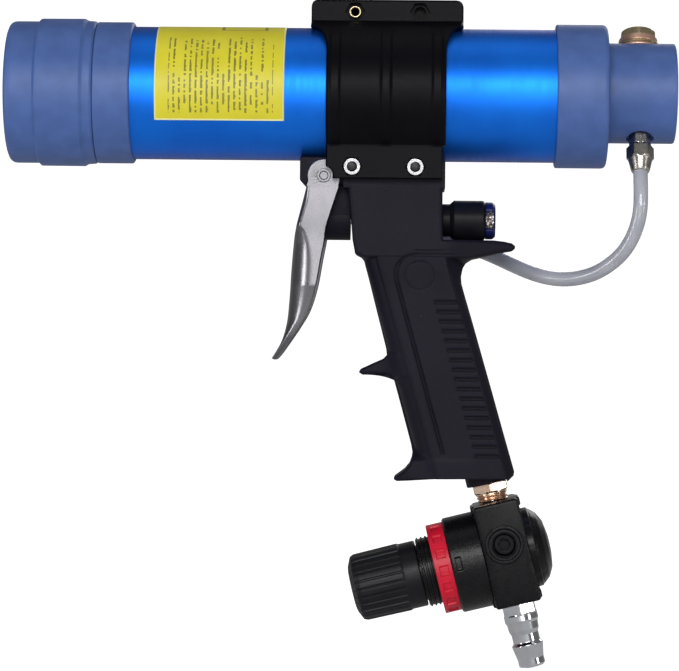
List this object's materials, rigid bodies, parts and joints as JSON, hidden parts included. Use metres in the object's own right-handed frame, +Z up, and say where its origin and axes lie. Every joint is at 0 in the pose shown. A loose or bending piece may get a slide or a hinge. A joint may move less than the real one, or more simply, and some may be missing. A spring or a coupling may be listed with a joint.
{
  "type": "caulking gun",
  "caption": "Air-driven caulking gun: blue barrel with a screw cap, black clamp and pistol grip, plated trigger, air hose, and a regulator with a red ring under the grip.",
  "frame": {"origin": "middle of the nozzle opening, at the front face of the screw cap, on the barrel's axis", "axes": "+X along the barrel to the rear, +Y to the far side of the gun, +Z up, away from the grip"},
  "size_m": [0.2756, 0.0636, 0.2764],
  "materials": {
    "cap_blue": "bead-blasted and anodised slate blue, matt",
    "tube_blue": "anodised bright blue, satin",
    "label_yellow": "printed vinyl film",
    "clamp_black": "moulded nylon, satin",
    "grip_black": "moulded nylon, fine spark texture",
    "plated_steel": "bright nickel-chrome plate",
    "zinc_steel": "zinc plated",
    "black_steel": "black oxide",
    "spring_steel": "drawn wire",
    "nickel_brass": "nickel plated brass",
    "brass": "turned, satin",
    "copper_washer": "soft copper, dull",
    "rubber_black": "nitrile, matt",
    "hose_clear": "clear polyurethane, smoky",
    "fitting_black": "glass-filled nylon",
    "ring_navy": "moulded, satin",
    "sinter": "sintered, porous",
    "cast_black": "zinc die casting, gloss black enamel",
    "knob_black": "moulded acetal, satin",
    "lock_red": "moulded acetal, satin gloss"
  },
  "bodies": {
    "gun": {"front_collar": "cap_blue", "barrel_tube": "tube_blue", "label": "label_yellow", "rear_cap": "cap_blue", "air_head": "cap_blue", "head_oring": "rubber_black", "cartridge_seal": "rubber_black", "air_plug": "brass", "plug_washer": "copper_washer", "hose_fitting": "nickel_brass", "fitting_nut": "nickel_brass", "air_hose": "hose_clear", "hose_elbow": "fitting_black", "clamp_near": "clamp_black", "clamp_far": "clamp_black", "top_screw": "black_steel", "top_sleeve": "brass", "lower_screws": "black_steel", "lower_nuts": "zinc_steel", "grip": "grip_black", "trigger_pin": "zinc_steel", "pin_clip": "black_steel", "valve_bush": "brass", "valve_spring": "spring_steel", "silencer_body": "fitting_black", "silencer_ring": "ring_navy", "silencer_screen": "sinter", "inlet_nipple": "brass", "regulator_body": "cast_black", "regulator_cap": "cast_black", "gauge_plugs": "black_steel", "bonnet": "knob_black", "lock_ring": "lock_red", "main_spring": "spring_steel", "diaphragm": "rubber_black", "diaphragm_plate": "zinc_steel", "poppet_spring": "spring_steel", "air_inlet_plug": "plated_steel"},
    "cap_slider": {"cap_washer": "rubber_black"},
    "cap": {"front_cap": "cap_blue"},
    "trigger": {"trigger": "plated_steel"},
    "stem": {"valve_stem": "zinc_steel", "stem_orings": "rubber_black"},
    "adjuster": {"adjusting_screw": "zinc_steel"},
    "knob": {"knob": "knob_black"},
    "seat": {"spring_seat": "zinc_steel"},
    "poppet": {"poppet": "brass"}
  },
  "joints": [
    {"name": "cap_travel", "type": "slide", "parent": "gun", "child": "cap_slider", "axis": [-1, 0, 0], "range_m": [0, 0.0151]},
    {"name": "cap_turn", "type": "hinge", "parent": "cap_slider", "child": "cap", "pos_m": [0, 0, 0], "axis": [-1, 0, 0], "range_deg": [0, 1800]},
    {"name": "trigger_pivot", "type": "hinge", "parent": "gun", "child": "trigger", "pos_m": [0.1312, 0, -0.0344], "axis": [0, -1, 0], "range_deg": [0, 16], "stiffness_Nm_per_rad": 0.6, "springref_deg": -8.59},
    {"name": "stem_slide", "type": "slide", "parent": "gun", "child": "stem", "axis": [1, 0, 0], "range_m": [0, 0.0052], "deforming": ["valve_spring"]},
    {"name": "pressure_adjust", "type": "hinge", "parent": "gun", "child": "adjuster", "pos_m": [0.20781, 0, -0.18942], "axis": [0.9703, 0, 0.2419], "range_deg": [0, 1440]},
    {"name": "knob_pull", "type": "slide", "parent": "adjuster", "child": "knob", "axis": [-0.9703, 0, -0.2419], "range_m": [0, 0.003]},
    {"name": "seat_slide", "type": "slide", "parent": "gun", "child": "seat", "axis": [0.9703, 0, 0.2419], "range_m": [0, 0.0061], "deforming": ["main_spring"]},
    {"name": "poppet_slide", "type": "slide", "parent": "gun", "child": "poppet", "axis": [0.9703, 0, 0.2419], "range_m": [0, 0.0008], "stiffness_N_per_m": 800, "springref_m": -0.002, "deforming": ["poppet_spring"]}
  ],
  "couplings": [
    {"joint": "cap_travel", "follows": "cap_turn", "m_per_rad": 0.00047746},
    {"joint": "stem_slide", "follows": "trigger_pivot", "m_per_rad": 0.0181},
    {"joint": "seat_slide", "follows": "pressure_adjust", "m_per_rad": 0.00023873}
  ]
}
